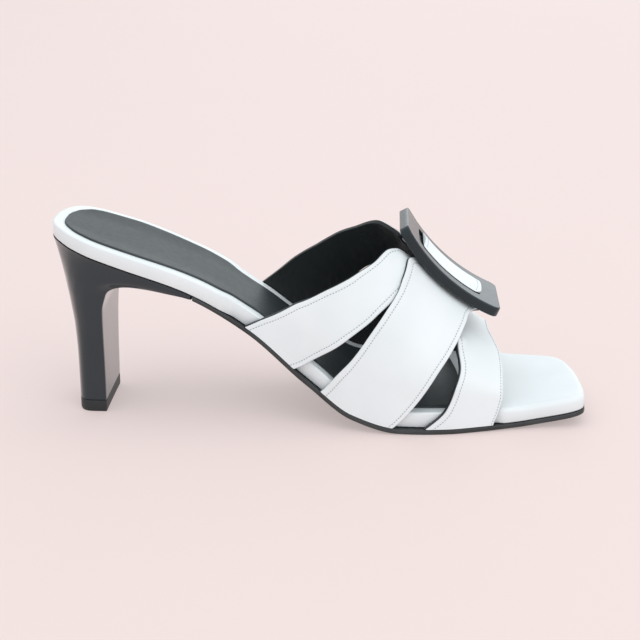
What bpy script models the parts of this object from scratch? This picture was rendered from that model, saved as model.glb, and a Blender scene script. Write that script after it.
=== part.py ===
"""Left mule sandal: high block heel, crossed leather straps and a curved buckle on the instep.

Metres, +Z up. The shoe stands on the floor z = 0 with its toe towards +X. While it is worked
out, x runs from the back of the heel (0) to the toe (shoe_length) and the medial side, the
big toe's, is at negative y. The last step moves the finished pieces so that the origin lies
under the middle of the shoe.
"""
import bpy
from math import cos, hypot, pi, radians, sin, sqrt
from mathutils import Vector

for old in list(bpy.data.objects):
    bpy.data.objects.remove(old, do_unlink=True)

# Driving sizes of the last and of the shoe
shoe_length = 0.230
ball_width = 0.0800
heel_rise = 0.0755
toe_spring = 0.0050
instep_height = 0.0545

# Bottom pieces
outsole_thickness = 0.0022
footbed_thickness = 0.0068
footbed_edge_radius = 0.0016
sock_thickness = 0.0008
sock_inset = 0.0050
sock_front_bow = 0.0040
clearance = 0.0003

# Straps
strap_wall = 0.0018
strap_join = 0.0003
tuck_run = 0.0050

# Heel and its lift
lift_height = 0.0053
lift_edge = 0.0006
heel_width = 0.0345
heel_length = 0.0130
heel_lean = 0.0094

# Buckle and the leather in its window
buckle_length = 0.0545
buckle_width = 0.0360
buckle_thickness = 0.0044
buckle_radius = 0.0780
buckle_edge = 0.0006
buckle_tilt = radians(41.8)
buckle_aside = 0.0020
buckle_corner = 0.0035
buckle_bar = 0.0080
buckle_end_bar = 0.0095
tab_crown = 0.0016

# Where pieces end or sit, as shares of the shoe's length
outsole_start = 0.270
sock_front = 0.770
buckle_place = 0.736

# How fine the curved surfaces are
strap_steps_round = 30
strap_steps_across = 5
plate_steps_long = 80
plate_steps_across = 4
heel_climb_steps = 18
heel_side_steps = 12
heel_cross_steps = 5

# Sole: a row for each section from heel to toe. along is a share of the shoe's length, rise a
# share of the heel rise, spring a share of the toe spring, near (medial) and far (lateral)
# shares of the ball width.
SOLE = (
    ("along", "rise", "spring", "near", "far"),
    (0.000, 1.000, 0.00, 0.000, 0.000),
    (0.005, 0.998, 0.00, 0.110, 0.110),
    (0.020, 0.990, 0.00, 0.200, 0.225),
    (0.050, 0.963, 0.00, 0.286, 0.315),
    (0.090, 0.924, 0.00, 0.336, 0.350),
    (0.150, 0.865, 0.00, 0.358, 0.360),
    (0.260, 0.730, 0.00, 0.328, 0.328),
    (0.370, 0.515, 0.00, 0.300, 0.323),
    (0.480, 0.232, 0.00, 0.343, 0.388),
    (0.565, 0.065, 0.00, 0.425, 0.488),
    (0.650, 0.004, 0.00, 0.461, 0.555),
    (0.700, 0.000, 0.00, 0.457, 0.570),
    (0.740, 0.000, 0.00, 0.446, 0.573),
    (0.805, 0.000, 0.05, 0.404, 0.557),
    (0.865, 0.000, 0.15, 0.359, 0.510),
    (0.920, 0.000, 0.43, 0.328, 0.446),
    (0.955, 0.000, 0.67, 0.314, 0.388),
    (0.970, 0.000, 0.79, 0.306, 0.340),
    (0.982, 0.000, 0.89, 0.295, 0.264),
    (0.991, 0.000, 0.95, 0.277, 0.150),
    (0.997, 0.000, 0.98, 0.250, 0.020),
    (1.000, 0.000, 1.00, 0.150, -0.150),
)

# Wrapped footbed: its thickness along the shoe as a share of the full one, how much of the
# straps' thickness it stands back from the sole's edge, and the share of the outsole under it
# that is left where the outsole is skived thin towards the heel.
BAND = (
    ("along", "thickness", "set_back", "outsole"),
    (0.000, 0.90, 0.0, 0.76),
    (0.200, 0.90, 0.0, 0.76),
    (0.315, 0.92, 0.0, 0.80),
    (0.345, 0.93, 1.0, 0.82),
    (0.650, 1.00, 1.0, 1.00),
    (0.835, 1.00, 1.0, 1.00),
    (0.870, 1.00, 0.0, 1.00),
    (1.000, 1.00, 0.0, 1.00),
)

# The last over the foot: height of each strap's surface above the footbed, as shares of the
# instep height.
CREST = (
    ("along", "rear", "middle", "front"),
    (0.360, 0.75, 1.30, 0.60),
    (0.480, 1.11, 1.38, 0.66),
    (0.565, 1.27, 1.47, 0.70),
    (0.605, 1.27, 1.43, 0.70),
    (0.640, 1.16, 1.33, 0.68),
    (0.665, 1.06, 1.24, 0.66),
    (0.695, 0.95, 1.13, 0.645),
    (0.730, 0.84, 1.00, 0.61),
    (0.765, 0.74, 0.90, 0.560),
    (0.785, 0.68, 0.85, 0.505),
    (0.810, 0.60, 0.78, 0.425),
    (0.840, 0.50, 0.68, 0.340),
)

# Strap edges. over is the share of the way over the foot, from the medial sole edge (0) over
# the crest (0.5) to the lateral sole edge (1); rear and front are where the strap's two edges
# lie there, as shares of the shoe's length.
REAR_NEAR = (
    ("over", "rear", "front"),
    (0.00, 0.365, 0.457),
    (0.08, 0.408, 0.499),
    (0.16, 0.458, 0.557),
    (0.20, 0.504, 0.601),
    (0.24, 0.562, 0.643),
    (0.28, 0.609, 0.672),
    (0.32, 0.627, 0.690),
    (0.36, 0.638, 0.700),
    (0.40, 0.665, 0.705),
)
REAR_FAR = (
    ("over", "rear", "front"),
    (0.60, 0.648, 0.704),
    (0.64, 0.612, 0.692),
    (0.68, 0.597, 0.668),
    (0.72, 0.568, 0.645),
    (0.76, 0.520, 0.613),
    (0.80, 0.468, 0.571),
    (0.84, 0.435, 0.543),
    (0.92, 0.394, 0.497),
    (1.00, 0.360, 0.457),
)
MIDDLE_BAND = (
    ("over", "rear", "front"),
    (0.00, 0.506, 0.641),
    (0.08, 0.539, 0.685),
    (0.16, 0.591, 0.723),
    (0.20, 0.622, 0.744),
    (0.24, 0.650, 0.762),
    (0.28, 0.662, 0.773),
    (0.32, 0.667, 0.779),
    (0.38, 0.671, 0.790),
    (0.44, 0.674, 0.805),
    (0.56, 0.674, 0.805),
    (0.62, 0.671, 0.790),
    (0.68, 0.665, 0.779),
    (0.72, 0.655, 0.773),
    (0.76, 0.638, 0.762),
    (0.80, 0.612, 0.744),
    (0.84, 0.583, 0.723),
    (0.92, 0.535, 0.685),
    (1.00, 0.506, 0.641),
)
FRONT_BAND = (
    ("over", "rear", "front"),
    (0.00, 0.697, 0.826),
    (0.08, 0.735, 0.8365),
    (0.16, 0.751, 0.8415),
    (0.24, 0.761, 0.8415),
    (0.30, 0.756, 0.8415),
    (0.38, 0.745, 0.8400),
    (0.46, 0.738, 0.832),
    (0.54, 0.738, 0.824),
    (0.62, 0.745, 0.824),
    (0.70, 0.756, 0.828),
    (0.76, 0.761, 0.830),
    (0.84, 0.750, 0.830),
    (0.92, 0.732, 0.827),
    (1.00, 0.690, 0.818),
)

# Heel: rings climb from the lift and open forward into the wing under the shank. forward is
# how far a ring's front edge has moved from the breast to the wing's tip, up how high that
# edge is between the lift and the footbed there, and back how high the ring is at the heel's
# back, all as shares.
BREAST = (
    ("climb", "forward", "up", "back"),
    (0.00, 0.000, 0.000, 0.000),
    (0.12, 0.003, 0.220, 0.200),
    (0.24, 0.006, 0.420, 0.380),
    (0.36, 0.020, 0.639, 0.570),
    (0.42, 0.053, 0.723, 0.650),
    (0.47, 0.088, 0.781, 0.700),
    (0.53, 0.177, 0.832, 0.750),
    (0.60, 0.318, 0.871, 0.800),
    (0.70, 0.545, 0.905, 0.855),
    (0.80, 0.760, 0.930, 0.905),
    (0.88, 0.912, 0.953, 0.945),
    (0.94, 1.000, 0.968, 0.985),
    (1.00, 1.000, 1.000, 1.000),
)
# How far the heel's back has leant out and its sides have widened to the seat, at a share of
# the height between the lift and the seat, and how square its rear corners are there.
HEEL_SHAPE = (
    ("up", "lean", "widen", "squareness"),
    (0.00, 0.00, 0.00, 3.6),
    (0.25, 0.02, 0.07, 3.5),
    (0.45, 0.10, 0.21, 3.2),
    (0.60, 0.25, 0.40, 2.9),
    (0.75, 0.47, 0.62, 2.6),
    (0.90, 0.78, 0.86, 2.3),
    (1.00, 1.00, 1.00, 2.1),
)
# Share of the heel's depth that its rounded back takes up
heel_back_round = 0.70


def smooth(table, column, place):
    """Value of a table's column at a place, on a smooth curve that never overshoots."""
    names, rows = table[0], table[1:]
    value = names.index(column)
    if place <= rows[0][0]:
        return rows[0][value]
    if place >= rows[-1][0]:
        return rows[-1][value]
    last = len(rows) - 1
    i = max(k for k in range(last) if rows[k][0] <= place)

    def step_slope(k):
        return (rows[k + 1][value] - rows[k][value]) / (rows[k + 1][0] - rows[k][0])

    def slope(k):
        if k == 0:
            return step_slope(0)
        if k == last:
            return step_slope(last - 1)
        before, after = step_slope(k - 1), step_slope(k)
        if before * after <= 0:
            return 0.0
        return 2 * before * after / (before + after)

    step = rows[i + 1][0] - rows[i][0]
    t = (place - rows[i][0]) / step
    start, end = rows[i][value], rows[i + 1][value]
    blend = 3 * t**2 - 2 * t**3
    return (start * (1 - blend) + end * blend
            + slope(i) * step * (t**3 - 2 * t**2 + t)
            + slope(i + 1) * step * (t**3 - t**2))


def mix(a, b, share):
    return a + (b - a) * share


def ease(share):
    """Share kept between 0 and 1, with a soft start and end."""
    share = min(max(share, 0.0), 1.0)
    return share * share * (3 - 2 * share)


# The sole's surfaces

def ground(x):
    """Underside of the sole: on the floor under the ball, up to the heel and the toe."""
    along = x / shoe_length
    return heel_rise * smooth(SOLE, "rise", along) + toe_spring * smooth(SOLE, "spring", along)


def upright(x):
    """How much taller than thick a sloping layer is when it is measured straight up."""
    run = 0.01 * shoe_length
    return hypot(1, (ground(x + run) - ground(x - run)) / (2 * run))


def seat(x):
    """Underside of the footbed, the heel's seat and the straps' ends."""
    return ground(x) + outsole_thickness * upright(x) + clearance


def footbed_top(x):
    return seat(x) + footbed_thickness * smooth(BAND, "thickness", x / shoe_length) * upright(x)


def near_edge(x):
    return -ball_width * smooth(SOLE, "near", x / shoe_length)


def far_edge(x):
    return ball_width * smooth(SOLE, "far", x / shoe_length)


def outline_side(edge, inset, start, end):
    """One side of the sole's outline from heel to toe, moved inwards, at even distances."""
    inward = 1 if edge is near_edge else -1
    fine = 400
    spread = [mix(start, end, 0.5 - 0.5 * cos(pi * k / fine)) for k in range(fine + 1)]
    line = [Vector((x, edge(x))) for x in spread]
    moved = []
    for k, point in enumerate(line):
        along = line[min(k + 1, fine)] - line[max(k - 1, 0)]
        across = Vector((-along.y, along.x)).normalized() * inward
        moved.append(point + across * inset(point.x))
    lengths = [0.0]
    for a, b in zip(moved, moved[1:]):
        lengths.append(lengths[-1] + (b - a).length)
    points = []
    k = 0
    for i in range(plate_steps_long + 1):
        target = lengths[-1] * i / plate_steps_long
        while k < fine - 1 and lengths[k + 1] < target:
            k += 1
        share = (target - lengths[k]) / max(lengths[k + 1] - lengths[k], 1e-9)
        points.append(moved[k].lerp(moved[k + 1], min(max(share, 0), 1)))
    return points


def cross_lines(inset, start, end, bow=0.0):
    """Grid over the sole's plan: a row of points across for each step from heel to toe."""
    near = outline_side(near_edge, inset, start, end)
    far = outline_side(far_edge, inset, start, end)
    rows = []
    for i, (a, b) in enumerate(zip(near, far)):
        row = [a.lerp(b, j / plate_steps_across) for j in range(plate_steps_across + 1)]
        for j, point in enumerate(row):
            across = j / plate_steps_across
            point.x += bow * 4 * across * (1 - across) * (i / plate_steps_long)**6
        rows.append(row)
    return rows


def border(rows):
    """Indices of a grid's outer points in order round its edge."""
    last_row, last = len(rows) - 1, len(rows[0]) - 1
    loop = [(i, 0) for i in range(last_row + 1)]
    loop += [(last_row, j) for j in range(1, last)]
    loop += [(i, last) for i in range(last_row, -1, -1)]
    loop += [(0, j) for j in range(last - 1, 0, -1)]
    return loop


# Meshes

def material(name, colour, roughness, coat=0.0):
    made = bpy.data.materials.new(name)
    made.use_nodes = True
    shader = made.node_tree.nodes["Principled BSDF"]
    shader.inputs["Base Color"].default_value = (*colour, 1.0)
    shader.inputs["Roughness"].default_value = roughness
    shader.inputs["Metallic"].default_value = 0.0
    shader.inputs["Coat Weight"].default_value = coat
    return made


def add_piece(name, points, faces, finish, sharp=radians(40)):
    mesh = bpy.data.meshes.new(name)
    mesh.from_pydata([tuple(p) for p in points], [], faces)
    mesh.validate()
    mesh.materials.append(finish)
    mesh.shade_smooth()
    mesh.set_sharp_from_angle(angle=sharp)
    made = bpy.data.objects.new(name, mesh)
    bpy.context.scene.collection.objects.link(made)
    return made


def plate(name, layers, finish):
    """Closed plate from grids of the same size, lowest first: the first and last are its
    faces, and the ones between only lend their border to its side."""
    loop = border(layers[0])
    count_long, count_across = len(layers[0]), len(layers[0][0])
    points = []
    bottom = {}
    topside = {}
    for index, grid in ((bottom, layers[0]), (topside, layers[-1])):
        for i in range(count_long):
            for j in range(count_across):
                index[i, j] = len(points)
                points.append(grid[i][j])
    faces = []
    for i in range(count_long - 1):
        for j in range(count_across - 1):
            corners = ((i, j), (i + 1, j), (i + 1, j + 1), (i, j + 1))
            faces.append([topside[c] for c in corners])
            faces.append([bottom[c] for c in reversed(corners)])
    rings = [[bottom[c] for c in loop]]
    for grid in layers[1:-1]:
        rings.append(list(range(len(points), len(points) + len(loop))))
        points += [grid[i][j] for i, j in loop]
    rings.append([topside[c] for c in loop])
    faces += ring_faces(rings)
    return add_piece(name, points, faces, finish)


def ring_faces(rings):
    """Quads between closed rings that run anticlockwise seen from above, lowest first."""
    faces = []
    for low, high in zip(rings, rings[1:]):
        count = len(low)
        for k in range(count):
            following = (k + 1) % count
            faces.append([low[k], low[following], high[following], high[k]])
    return faces


def raised(rows, height):
    return [[(p.x, p.y, height(p.x)) for p in row] for row in rows]


# Finishes
white_leather = material("white_leather", (0.84, 0.86, 0.87), 0.42)
black_leather = material("black_leather", (0.030, 0.034, 0.036), 0.50)
black_lacquer = material("black_lacquer", (0.018, 0.019, 0.021), 0.16, 1.0)
black_rubber = material("black_rubber", (0.022, 0.022, 0.023), 0.62)
black_sole = material("black_sole_leather", (0.030, 0.029, 0.030), 0.55)


# Outsole: a thin black sheet from the tip of the heel's wing to the toe

def build_outsole():
    start = outsole_start * shoe_length + clearance
    low = cross_lines(lambda x: 0.15 * outsole_thickness, start, shoe_length)
    full = cross_lines(lambda x: 0.0, start, shoe_length)

    def height(share):
        def at(x):
            cut = (1 - share) * smooth(BAND, "outsole", x / shoe_length)
            return ground(x) + (1 - cut) * outsole_thickness * upright(x)
        return at

    layers = [raised(low, height(0.0)), raised(full, height(0.2)), raised(full, height(1.0))]
    return plate("outsole", layers, black_sole)


# Footbed: the board wrapped in white leather, whose edge is the white band

def footbed_inset(extra):
    """How far the footbed's side stands inside the sole's outline."""
    def inset(x):
        set_back = smooth(BAND, "set_back", x / shoe_length)
        return clearance + extra + set_back * (strap_wall + clearance)
    return inset


def build_footbed():
    tip = 0.0005
    layers = []
    rounding = ((0.0, 0.0), (1.0, 0.0))
    for share, inset in rounding:
        rows = cross_lines(footbed_inset(inset), tip, shoe_length)
        drop = footbed_edge_radius * share
        layers.append(raised(rows, (lambda x: footbed_top(x) - drop) if share else seat))
    for angle in (30, 60, 90):
        inward = footbed_edge_radius * (1 - cos(radians(angle)))
        drop = footbed_edge_radius * (1 - sin(radians(angle)))
        rows = cross_lines(footbed_inset(inward), tip, shoe_length)
        layers.append(raised(rows, lambda x, drop=drop: footbed_top(x) - drop))
    return plate("footbed", layers, white_leather)


# Sock: the black insole lining, set in from the band's edge

def build_sock():
    rows = cross_lines(footbed_inset(sock_inset), 0.0005, sock_front * shoe_length, sock_front_bow)
    low = raised(rows, lambda x: footbed_top(x) + clearance)
    high = raised(rows, lambda x: footbed_top(x) + clearance + sock_thickness * upright(x))
    return plate("sock", [low, high], black_leather)


# Buckle: a curved plate with a window, bent to a circle about an axis across the shoe

def buckle_axis():
    """Centre of the buckle's curve, above and ahead of it, in x and z."""
    middle = buckle_place * shoe_length
    height = footbed_top(middle) + instep_height
    return (middle + buckle_radius * sin(buckle_tilt),
            height + buckle_radius * cos(buckle_tilt))


def on_buckle(along, across, depth):
    """Point on the buckle: along its length, across it, and below its upper face."""
    centre_x, centre_z = buckle_axis()
    turn = buckle_tilt - along / buckle_radius
    reach = buckle_radius + depth
    return Vector((centre_x - reach * sin(turn), buckle_aside + across, centre_z - reach * cos(turn)))


def under_buckle(x):
    """Height at which leather lies against the buckle, carried on straight past its ends."""
    centre_x, centre_z = buckle_axis()
    reach = buckle_radius + buckle_thickness + clearance
    half_turn = 0.5 * buckle_length / buckle_radius
    rear = centre_x - reach * sin(buckle_tilt + half_turn)
    front = centre_x - reach * sin(buckle_tilt - half_turn)
    nearest = min(max(x, rear), front)
    drop = sqrt(reach**2 - (nearest - centre_x)**2)
    return centre_z - drop + (nearest - centre_x) / drop * (x - nearest)


def rounded_rectangle(length, width, corner, long_steps=8, short_steps=4, corner_steps=3):
    """Closed outline, anticlockwise from above, with evenly divided sides."""
    outline = []
    sides = (
        (length / 2 - corner, -width / 2 + corner, -pi / 2, short_steps, 0, 1),
        (length / 2 - corner, width / 2 - corner, 0.0, long_steps, -1, 0),
        (-length / 2 + corner, width / 2 - corner, pi / 2, short_steps, 0, -1),
        (-length / 2 + corner, -width / 2 + corner, pi, long_steps, 1, 0),
    )
    for centre_a, centre_b, turn, steps, move_a, move_b in sides:
        for k in range(corner_steps + 1):
            angle = turn + (pi / 2) * k / corner_steps
            outline.append((centre_a + corner * cos(angle), centre_b + corner * sin(angle)))
        run = (length if move_a else width) - 2 * corner
        start_a, start_b = outline[-1]
        for k in range(1, steps):
            outline.append((start_a + move_a * run * k / steps, start_b + move_b * run * k / steps))
    return outline


def build_buckle():
    outer = rounded_rectangle(buckle_length, buckle_width, buckle_corner)
    outer_top = rounded_rectangle(buckle_length - 2 * buckle_edge, buckle_width - 2 * buckle_edge,
                                  buckle_corner)
    inner = rounded_rectangle(buckle_length - 2 * buckle_end_bar, buckle_width - 2 * buckle_bar,
                              buckle_corner / 2)
    rings = (
        [on_buckle(a, b, buckle_thickness) for a, b in outer],
        [on_buckle(a, b, buckle_edge) for a, b in outer],
        [on_buckle(a, b, 0.0) for a, b in outer_top],
        [on_buckle(a, b, 0.0) for a, b in inner],
        [on_buckle(a, b, buckle_thickness) for a, b in inner],
    )
    count = len(outer)
    points = [p for ring in rings for p in ring]
    loops = [list(range(k * count, (k + 1) * count)) for k in range(len(rings))]
    return add_piece("buckle", points, ring_faces(loops + [loops[0]]), black_lacquer)


def build_tab():
    """Padded white leather that fills the buckle's window and stands a little above it."""
    length = buckle_length - 2 * buckle_end_bar - 2 * clearance
    width = buckle_width - 2 * buckle_bar - 2 * clearance
    corner = buckle_corner / 2
    foot = buckle_thickness
    rings = []
    for share, depth in ((1.00, foot), (1.00, 0.0), (0.90, -0.55 * tab_crown), (0.72, -0.85 * tab_crown)):
        shrink = (1 - share) * width
        outline = rounded_rectangle(length - shrink, width - shrink, corner)
        rings.append([on_buckle(a, b, depth) for a, b in outline])
    count = len(rings[0])
    points = [p for ring in rings for p in ring]
    loops = [list(range(k * count, (k + 1) * count)) for k in range(len(rings))]
    faces = ring_faces(loops)
    faces += cap_faces(points, loops[-1], on_buckle(0, 0, -tab_crown))
    faces += cap_faces(points, loops[0][::-1], on_buckle(0, 0, foot))
    return add_piece("buckle_tab", points, faces, white_leather)


def cap_faces(points, loop, middle):
    """Closes a ring with a fan, and adds the point at its middle."""
    points.append(middle)
    centre = len(points) - 1
    return [[loop[k], loop[(k + 1) % len(loop)], centre] for k in range(len(loop))]


# Straps: each follows the last's surface between its two edges

def rounded_path(corners, share):
    """Point at a share of a path that rounds every inner corner of a line of corners."""
    spans = len(corners) - 2
    i = min(int(share * spans), spans - 1)
    s = share * spans - i
    a, b, c = corners[i:i + 3]
    start = a if i == 0 else a.lerp(b, 0.5)
    end = c if i == spans - 1 else b.lerp(c, 0.5)
    return start * (1 - s)**2 + b * 2 * s * (1 - s) + end * s**2


def section(band, x):
    """Corners of a strap's outer path over the foot, from the medial sole edge across."""
    near, far, low, rim = near_edge(x), far_edge(x), seat(x), footbed_top(x)
    rise = instep_height * smooth(CREST, band, x / shoe_length)
    if band == "front":
        middle = (near + far) / 2
        half = (far - near) / 2
        side = ((half, low), (half, rim), (0.98 * half, rim + 0.54 * rise), (0.60 * half, rim + rise))
        left = [Vector((middle - y, z)) for y, z in side]
        right = [Vector((middle + y, z)) for y, z in side]
        return left + [Vector((middle, rim + 1.04 * rise))] + right[::-1]
    flat = rim + rise
    if band == "middle":
        flat = min(flat, under_buckle(x))

    def side(edge, shoulder, outward):
        return [
            Vector((edge, low)),
            Vector((edge, rim)),
            Vector((mix(edge, shoulder, 0.04), mix(rim, flat, 0.36))),
            Vector((shoulder + outward * 0.07 * buckle_width, flat - 0.125 * buckle_width)),
            Vector((shoulder - outward * 0.11 * buckle_width, flat)),
        ]

    left = side(near, buckle_aside - buckle_width / 2, -1)
    right = side(far, buckle_aside + buckle_width / 2, 1)
    return left + [Vector((buckle_aside, flat))] + right[::-1]


def on_strap(band, x, over):
    y, z = rounded_path(section(band, x), over)
    return Vector((x, y, z))


def strap_normal(band, x, over):
    """Outward direction of a strap's surface."""
    step_over, step_x = 0.004, 0.002 * shoe_length
    low, high = max(over - step_over, 0), min(over + step_over, 1)
    round_foot = on_strap(band, x, high) - on_strap(band, x, low)
    forward = on_strap(band, x + step_x, over) - on_strap(band, x - step_x, over)
    normal = forward.cross(round_foot)
    normal.normalize()
    return normal


def nearest_over(band, point):
    """Share of the way over the foot where a strap's surface comes nearest to a point."""
    def gap(over):
        return (on_strap(band, point.x, min(max(over, 0.0), 1.0)) - point).length

    reach = 1 / 40
    best = min((reach * k for k in range(41)), key=gap)
    while reach > 0.0002:
        reach /= 2
        best = min((best - reach, best, best + reach), key=gap)
    return min(max(best, 0.0), 1.0)


def tucked(point):
    """A lower strap's point, moved against the middle band's underside where they cross."""
    over = nearest_over("middle", point)
    rear, front = (shoe_length * smooth(MIDDLE_BAND, column, over) for column in ("rear", "front"))
    outward = strap_normal("middle", point.x, over)
    depth = (on_strap("middle", point.x, over) - point).dot(outward)
    covered = ease(1 + min(point.x - rear, front - point.x) / tuck_run)
    close = 1 - ease((depth - 2.2 * strap_wall) / strap_wall)
    return point + outward * (covered * close * (depth - strap_wall + strap_join))


def build_strap(name, band, edges):
    """Closed strap of even thickness, from its table of edges."""
    start, end = edges[1][0], edges[-1][0]
    steps = round(strap_steps_round * (end - start)) + 2
    outer, inner = [], []
    for i in range(steps + 1):
        over = mix(start, end, i / steps)
        rear, front = (shoe_length * smooth(edges, column, over) for column in ("rear", "front"))
        for j in range(strap_steps_across + 1):
            x = mix(rear, front, j / strap_steps_across)
            point = on_strap(band, x, over)
            normal = strap_normal(band, x, over)
            if over in (0, 1):
                normal = Vector((0, -1 if over == 0 else 1, 0))
            if band != "middle":
                point = tucked(point)
            outer.append(point)
            inner.append(point - normal * strap_wall)
    width = strap_steps_across + 1
    count = len(outer)

    def index(i, j, layer):
        return layer * count + i * width + j

    faces = []
    for i in range(steps):
        for j in range(strap_steps_across):
            corners = ((i, j), (i + 1, j), (i + 1, j + 1), (i, j + 1))
            faces.append([index(*c, 0) for c in reversed(corners)])
            faces.append([index(*c, 1) for c in corners])
    rim = [(i, 0) for i in range(steps + 1)]
    rim += [(steps, j) for j in range(1, width)]
    rim += [(i, width - 1) for i in range(steps - 1, -1, -1)]
    rim += [(0, j) for j in range(width - 2, 0, -1)]
    for k, a in enumerate(rim):
        b = rim[(k + 1) % len(rim)]
        faces.append([index(*a, 0), index(*b, 0), index(*b, 1), index(*a, 1)])
    return add_piece(name, outer + inner, faces, white_leather)


def build_upper():
    """Middle band with the two rear straps and the front band joined on under it."""
    upper = build_strap("upper", "middle", MIDDLE_BAND)
    others = (
        ("rear_strap_medial", "rear", REAR_NEAR),
        ("rear_strap_lateral", "rear", REAR_FAR),
        ("front_band", "front", FRONT_BAND),
    )
    for name, band, edges in others:
        strap = build_strap(name, band, edges)
        strap.hide_render = True
        strap.display_type = "WIRE"
        join = upper.modifiers.new(name, "BOOLEAN")
        join.operation = "UNION"
        join.solver = "EXACT"
        join.object = strap
    return upper


# Heel: rings that climb from the lift and open forward into the wing under the shank

def heel_roof(x):
    return seat(x) - clearance


def heel_ring(climb):
    """Points round the heel, anticlockwise: lateral side, back, medial side, then across."""
    forward, up, back = (smooth(BREAST, column, climb) for column in ("forward", "up", "back"))
    bottom = lift_height + clearance
    tip = outsole_start * shoe_length
    front_x = mix(heel_lean + heel_length, tip, forward)
    back_x = heel_lean * (1 - smooth(HEEL_SHAPE, "lean", back))
    front_z = mix(bottom, heel_roof(front_x), up)
    back_z = mix(bottom, heel_roof(0.0), back)

    def side_point(share, edge):
        x = mix(front_x, back_x, share)
        sag = heel_roof(x) - mix(heel_roof(front_x), heel_roof(0.0), share)
        z = mix(front_z, back_z, share) + back**3 * sag
        height = min((z - bottom) / (heel_roof(x) - bottom), 1.0)
        power = smooth(HEEL_SHAPE, "squareness", height)
        rounded = max(1 - (1 - share) / heel_back_round, 0.0)
        block = heel_width / 2 * (1 - rounded**power)**(1 / power)
        seat_half = max(abs(edge(mix(tip, 0.0, share))) - clearance, 0.0)
        flush = ease((x - heel_lean - heel_length) / (tip - heel_lean - heel_length))
        half = mix(block, seat_half, mix(smooth(HEEL_SHAPE, "widen", height), 1.0, flush))
        return Vector((x, half if edge is far_edge else -half, z))

    shares = [sin(pi / 2 * k / heel_side_steps) for k in range(heel_side_steps + 1)]
    lateral = [side_point(share, far_edge) for share in shares]
    medial = [side_point(share, near_edge) for share in reversed(shares[:-1])]
    across = [medial[-1].lerp(lateral[0], k / heel_cross_steps) for k in range(1, heel_cross_steps)]
    return lateral + medial + across


def ring_stack(name, rings, finish):
    """Closed body from rings of the heel's kind, lowest first."""
    count = len(rings[0])
    points = [p for ring in rings for p in ring]
    loops = [list(range(k * count, (k + 1) * count)) for k in range(len(rings))]
    faces = ring_faces(loops)
    for loop, upward in ((loops[-1], True), (loops[0], False)):
        lateral = loop[:heel_side_steps + 1]
        medial = loop[2 * heel_side_steps:heel_side_steps - 1:-1]
        front = [medial[0]] + loop[2 * heel_side_steps + 1:] + [lateral[0]]
        strips = [front + [lateral[1], medial[1]]]
        for k in range(1, heel_side_steps - 1):
            strips.append([medial[k], lateral[k], lateral[k + 1], medial[k + 1]])
        strips.append([medial[-2], lateral[-2], lateral[-1]])
        faces += [strip if upward else strip[::-1] for strip in strips]
    return add_piece(name, points, faces, finish)


def build_heel():
    rings = [heel_ring(k / heel_climb_steps) for k in range(heel_climb_steps + 1)]
    return ring_stack("heel", rings, black_lacquer)


def build_lift():
    """Rubber top piece under the heel, of the heel's own outline."""
    foot = heel_ring(0.0)
    middle = Vector((heel_lean + heel_length / 2, 0, 0))
    rings = []
    for height, inset in ((0.0, lift_edge), (lift_edge, 0.0), (lift_height, 0.0)):
        ring = []
        for point in foot:
            out = Vector((point.x, point.y, 0)) - middle
            ring.append(middle + out - out.normalized() * inset + Vector((0, 0, height)))
        rings.append(ring)
    return ring_stack("top_lift", rings, black_rubber)


def stand_on_origin(pieces):
    """Moves everything so that the origin lies under the middle of the shoe's box."""
    bpy.context.view_layer.update()
    graph = bpy.context.evaluated_depsgraph_get()
    corners = [v.co for piece in pieces for v in piece.evaluated_get(graph).data.vertices]
    middle = Vector([(min(c[k] for c in corners) + max(c[k] for c in corners)) / 2 for k in range(2)])
    for made in bpy.context.scene.collection.objects:
        for vertex in made.data.vertices:
            vertex.co.x -= middle.x
            vertex.co.y -= middle.y


pieces = [
    build_outsole(),
    build_footbed(),
    build_sock(),
    build_upper(),
    build_heel(),
    build_lift(),
    build_buckle(),
    build_tab(),
]
stand_on_origin(pieces)
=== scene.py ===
import bpy
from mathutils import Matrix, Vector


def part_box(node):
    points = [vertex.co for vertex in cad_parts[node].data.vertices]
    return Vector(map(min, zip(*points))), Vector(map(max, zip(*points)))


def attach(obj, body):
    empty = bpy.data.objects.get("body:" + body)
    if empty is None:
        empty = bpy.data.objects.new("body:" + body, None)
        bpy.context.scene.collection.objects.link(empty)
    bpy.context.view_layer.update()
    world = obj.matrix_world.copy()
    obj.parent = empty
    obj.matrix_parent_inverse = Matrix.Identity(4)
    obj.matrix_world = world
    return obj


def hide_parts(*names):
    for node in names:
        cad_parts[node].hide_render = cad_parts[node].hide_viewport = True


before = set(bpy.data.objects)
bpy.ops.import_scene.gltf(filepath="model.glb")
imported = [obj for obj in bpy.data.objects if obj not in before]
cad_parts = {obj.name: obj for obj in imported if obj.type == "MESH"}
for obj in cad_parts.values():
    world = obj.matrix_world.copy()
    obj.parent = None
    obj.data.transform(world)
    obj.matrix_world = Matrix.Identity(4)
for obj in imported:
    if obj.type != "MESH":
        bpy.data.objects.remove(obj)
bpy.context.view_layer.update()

import bpy
from math import cos, exp, hypot, pi, radians, sin, sqrt
from mathutils import Matrix, Vector
from mathutils.bvhtree import BVHTree

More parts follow.
